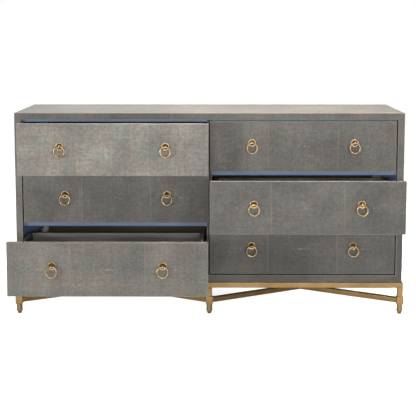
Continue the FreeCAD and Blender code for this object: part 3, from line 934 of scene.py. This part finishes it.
# Middle left and bottom right fronts drawn darker, as painted shade under the open drawers above.
FRONT_TONES_AND_SHADE = {
    "top_left": 1.86,
    "bottom_left": 1.15,
    "middle_right": 0.88,
    "top_right": 1.06,
    "middle_left": 0.82,
    "bottom_right": 0.67,
}
for place in PLACES:
    low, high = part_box(place + "_drawer_front")
    front = bmesh.new()
    bmesh.ops.create_cube(front, size=1.0, matrix=between(low, high))
    wrapped_edges = [
        edge for edge in front.edges if min(vert.co.y for vert in edge.verts) < low.y + MM
    ]
    round_edges(front, wrapped_edges, BOARD_EDGE)
    seams = [low.x + share * (high.x - low.x) for share in FRONT_SEAM_SHARES]
    for seam in seams:
        press_seam(front, 0, seam, lambda point: point.y < high.y - MM)
    tones = sheet_tones(FRONT_TONES_AND_SHADE[place], len(seams) + 1)
    lay_sheets(front, low, high, seams, 0, 0, 2, tones)
    finish_piece(
        place + "_wrapped_front",
        front,
        place + "_drawer",
        "shagreen_wrap",
        [WRAP],
        place + "_drawer_front",
    )


# Pull rosettes
# Turned brass dishes with a rolled rim, and a stem that ends in a drilled ball.
# Each is bolted through its front.
ROSETTE_RADIUS = 15 * MM
ROSETTE_RIM = 4 * MM
RIM_ROLL = 1.5 * MM
RIM_INNER = 10.8 * MM
DISH_RADIUS = 8.6 * MM
DISH_EDGE = 2.16 * MM
DISH_FLOOR = 1.8 * MM
STEM_RADIUS = 3.6 * MM
STEM_FLARE = [(1.7, 1.0), (1.25, 2.0), (1.0, 2.6)]
STEM_SHORT = 1.2 * MM
BALL_RADIUS = 6.2 * MM
BALL_STANDOFF = 17 * MM
HOLE_WAIST = 3.45 * MM
HOLE_WIDENING = 0.15 * MM
HOLE_WIDENED = 2.2 * MM
HOLE_MOUTH = 4.0 * MM
ARC_POINTS = 12
PULL_BRIGHT = (0.167, 0.116, 0.058, 1)
PULL_DULL = (0.125, 0.085, 0.040, 1)
PULL_PATINA_AND_SHADE = (0.034, 0.023, 0.011, 1)
PULL_ROUGHNESS = (0.27, 0.36)
TOUCHED_ROUGHNESS = 0.06
SWIRL_DEPTH = 0.1 * MM
# Dish and stem darkened as patina and as painted shade under the ball; the rim a little darkened.
DISH_PATINA_AND_SHADE = 0.38
RIM_DARKENING = 0.114
FACE_FRONT = Matrix.Rotation(math.pi / 2, 4, "X")
ALONG_SIDE = Matrix.Rotation(math.pi / 2, 4, "Y")


def rosette():
    """Dish, rim and stem, standing out along Z."""
    stem_top = BALL_STANDOFF - HOLE_WAIST - STEM_SHORT
    outline = [
        (0, 0),
        (ROSETTE_RADIUS, 0),
        (ROSETTE_RADIUS, ROSETTE_RIM),
        (RIM_INNER, ROSETTE_RIM),
        (DISH_RADIUS, DISH_EDGE),
        *[(STEM_RADIUS * across, DISH_FLOOR * up) for across, up in STEM_FLARE],
        (STEM_RADIUS, stem_top),
        (0, stem_top),
    ]
    bm = turned(outline, steps=48)
    # Marks the dish and stem for patina and painted shade under the ball, and the rim a little.
    patina_and_shade = bm.faces.layers.float.new("patina_and_shade")
    for face in bm.faces:
        in_dish = face.calc_center_median().to_2d().length < RIM_INNER
        face[patina_and_shade] = DISH_PATINA_AND_SHADE if in_dish else RIM_DARKENING
    rolled = [
        edge
        for edge in sharp_edges(bm)
        if edge.verts[0].co.z > ROSETTE_RIM * 0.9 and edge.verts[0].co.to_2d().length > DISH_RADIUS
    ]
    round_edges(bm, rolled, RIM_ROLL, segments=4)
    return bm


def drilled_ball():
    """Ball with a waisted hole through it along X."""
    mouth = math.asin(HOLE_MOUTH / BALL_RADIUS)
    outline = []
    for step in range(ARC_POINTS + 1):
        angle = mouth + (math.pi - 2 * mouth) * step / ARC_POINTS
        outline.append((BALL_RADIUS * math.sin(angle), BALL_RADIUS * math.cos(angle)))
    outline += [
        (HOLE_WAIST + HOLE_WIDENING, -HOLE_WIDENED),
        (HOLE_WAIST, 0),
        (HOLE_WAIST + HOLE_WIDENING, HOLE_WIDENED),
        outline[0],
    ]
    return moved(turned(outline, steps=32), ALONG_SIDE)


def polished_gold():
    """Bright plating, faint polishing swirls, duller where touched, patina and painted shade in the
    dish, less on the rim.
    """
    material, tree, shader, place = new_finish("polished_gold", Metallic=1.0)
    swirls = noise(tree, place, scale=700.0, detail=4.0)
    touched = opened_out(tree, noise(tree, place, scale=120.0), 0.4, 0.7)
    recess = shader_node(tree, "ShaderNodeAttribute", attribute_name="patina_and_shade").outputs["Fac"]
    plated = blend_colours(tree, touched, PULL_BRIGHT, PULL_DULL)
    darkened = blend_colours(tree, recess, plated, PULL_PATINA_AND_SHADE)
    tree.links.new(darkened, shader.inputs["Base Color"])
    dulled = maths(tree, "MULTIPLY", touched, TOUCHED_ROUGHNESS)
    rough = maths(tree, "ADD", spread(tree, swirls, *PULL_ROUGHNESS), dulled)
    tree.links.new(rough, shader.inputs["Roughness"])
    bump(tree, shader, swirls, strength=0.06, depth=SWIRL_DEPTH)
    return material


PULL_GOLD = polished_gold()
SWINGS = {joint["name"]: joint for joint in frame["joints"] if joint["name"].endswith("_swing")}
for place in PLACES:
    pulls, bolts = [], []
    inner_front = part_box(place + "_drawer_box")[0].y + BOX_WALL
    for side in ("left", "right"):
        ball = Vector(SWINGS[place + "_ring_" + side + "_swing"]["pos_m"])
        seat = ball + Vector((0, BALL_STANDOFF, 0))
        pulls.append(moved(rosette(), Matrix.Translation(seat) @ FACE_FRONT))
        pulls.append(moved(drilled_ball(), Matrix.Translation(ball)))
        bolts.append(button_head(Matrix.Translation((ball.x, inner_front, ball.z)) @ FACE_BACK))
    drawer = place + "_drawer"
    finish_piece(
        place + "_turned_rosettes",
        merged(pulls),
        drawer,
        "brushed_gold",
        [PULL_GOLD],
        place + "_pull_rosettes",
    )
    finish_piece(place + "_pull_bolts", merged(bolts), drawer, "runner_steel", [ZINC])


# Rings
# Round brass wire bent into a ring through the drilled ball, and closed with a soldered joint.
# Each is plated and polished like the rosettes, and swings by itself.
RING_WIRE = 6 * MM
RING_RADIUS = 19.5 * MM
for place in PLACES:
    for side in ("left", "right"):
        name = place + "_ring_" + side
        pivot = Vector(SWINGS[name + "_swing"]["pos_m"])
        hoop = bmesh.new()
        wire_end = Matrix.Translation((RING_RADIUS, 0, 0)) @ Matrix.Rotation(math.pi / 2, 4, "X")
        bmesh.ops.create_circle(hoop, segments=24, radius=RING_WIRE / 2, matrix=wire_end)
        bmesh.ops.spin(
            hoop,
            geom=hoop.verts[:] + hoop.edges[:],
            axis=(0, 0, 1),
            angle=math.tau,
            steps=72,
            use_merge=True,
        )
        bmesh.ops.remove_doubles(hoop, verts=hoop.verts, dist=MERGE_DISTANCE)
        bmesh.ops.recalc_face_normals(hoop, faces=hoop.faces)
        moved(hoop, Matrix.Translation(pivot - Vector((0, 0, RING_RADIUS))) @ FACE_FRONT)
        finish_piece(place + "_hanging_ring_" + side, hoop, name, "brushed_gold", [PULL_GOLD], name)


# Studio
# A pale floor that meets a white background. Soft lamps stand low at the left, right and front,
# and others light the upper front, the right side, the back and, from overhead, the top.
FLOOR_HALF = 14.0
FLOOR_GLOW = 0.8
FLOOR_DARK = (0.34, 0.34, 0.34, 1)
FLOOR_LIGHT = (0.37, 0.37, 0.37, 1)
DOME_LIGHT = 0.45
DOME_START = 0.12
DOME_END = 0.35
floor_mesh = bmesh.new()
bmesh.ops.create_grid(floor_mesh, x_segments=2, y_segments=2, size=FLOOR_HALF)
floor_data = bpy.data.meshes.new("studio_floor")
floor_mesh.to_mesh(floor_data)
floor_mesh.free()
floor = bpy.data.objects.new("studio_floor", floor_data)
bpy.context.scene.collection.objects.link(floor)
floor_finish, tree, shader, place = new_finish(
    "pale_floor", Roughness=0.8, Emission_Color=(1, 1, 1, 1), Emission_Strength=FLOOR_GLOW
)
shade = blend_colours(tree, noise(tree, place, scale=3.0), FLOOR_DARK, FLOOR_LIGHT)
tree.links.new(shade, shader.inputs["Base Color"])
floor_data.materials.append(floor_finish)

world = bpy.data.worlds.new("white_studio")
world.use_nodes = True
sky = world.node_tree
background = sky.nodes["Background"].inputs
looking = shader_node(sky, "ShaderNodeTexCoord").outputs["Generated"]
climb = shader_node(sky, "ShaderNodeSeparateXYZ", {0: looking}).outputs["Z"]
dome = spread(sky, climb, 1.0, DOME_LIGHT, DOME_START, DOME_END)
sky.links.new(dome, background["Strength"])
background["Color"].default_value = (1, 1, 1, 1)
bpy.context.scene.world = world

PLAIN_WHITE = (1, 1, 1)
WARM_WHITE = (1, 0.92, 0.86)
FRONT_TARGET = (0, 0, 0.5)


def lamp(name, place, target, size, opening, watts, colour=PLAIN_WHITE):
    """Oblong soft lamp at a place, aimed at a target, with its beam held to an opening angle."""
    data = bpy.data.lights.new(name, "AREA")
    data.shape = "RECTANGLE"
    data.size, data.size_y = size
    data.spread = math.radians(opening)
    data.energy = watts
    data.color = colour
    made = bpy.data.objects.new(name, data)
    made.location = place
    made.rotation_euler = (Vector(target) - Vector(place)).to_track_quat("-Z", "Y").to_euler()
    bpy.context.scene.collection.objects.link(made)


lamp("left_lamp", (-4.2, -4.2, 0.95), FRONT_TARGET, size=(0.8, 0.6), opening=120, watts=178)
lamp("right_lamp", (1.9, -4.6, 0.95), FRONT_TARGET, size=(1.2, 0.6), opening=120, watts=88)
lamp("front_lamp", (-0.2, -4.6, 1.1), FRONT_TARGET, size=(2.6, 0.7), opening=140, watts=170)
lamp("upper_lamp", (0, -1.7, 2.6), (0, -0.1, 0.4), size=(2.6, 1.2), opening=160, watts=20)
lamp("right_side_lamp", (4.6, 1.2, 1.9), (0.7, 0.2, 0.4), size=(1.6, 1.6), opening=120, watts=90)
lamp("rear_lamp", (-1.6, 4.4, 4.0), (0, 0.4, 0.4), size=(1.8, 1.2), opening=120, watts=75)
lamp(
    "overhead_lamp",
    (0.35, 0.25, 2.1),
    (0.35, 0.25, 0.5),
    size=(1.8, 0.5),
    opening=80,
    watts=66,
    colour=WARM_WHITE,
)

CAMERA_PLACE = (0.0209, -3.949, 1.1225)
CAMERA_PITCH = math.radians(6.34)
CAMERA_YAW = math.radians(0.38)
CAMERA_SENSOR = 36
CAMERA_LENS = 88.5
CAMERA_SHIFT = -0.16
camera_data = bpy.data.cameras.new("photo_camera")
camera_data.sensor_width = CAMERA_SENSOR
camera_data.lens = CAMERA_LENS
camera_data.shift_y = CAMERA_SHIFT
camera = bpy.data.objects.new("photo_camera", camera_data)
camera.location = CAMERA_PLACE
camera.rotation_euler = (math.pi / 2 - CAMERA_PITCH, 0, CAMERA_YAW)
bpy.context.scene.collection.objects.link(camera)
bpy.context.scene.camera = camera
bpy.context.scene.view_settings.view_transform = "Standard"
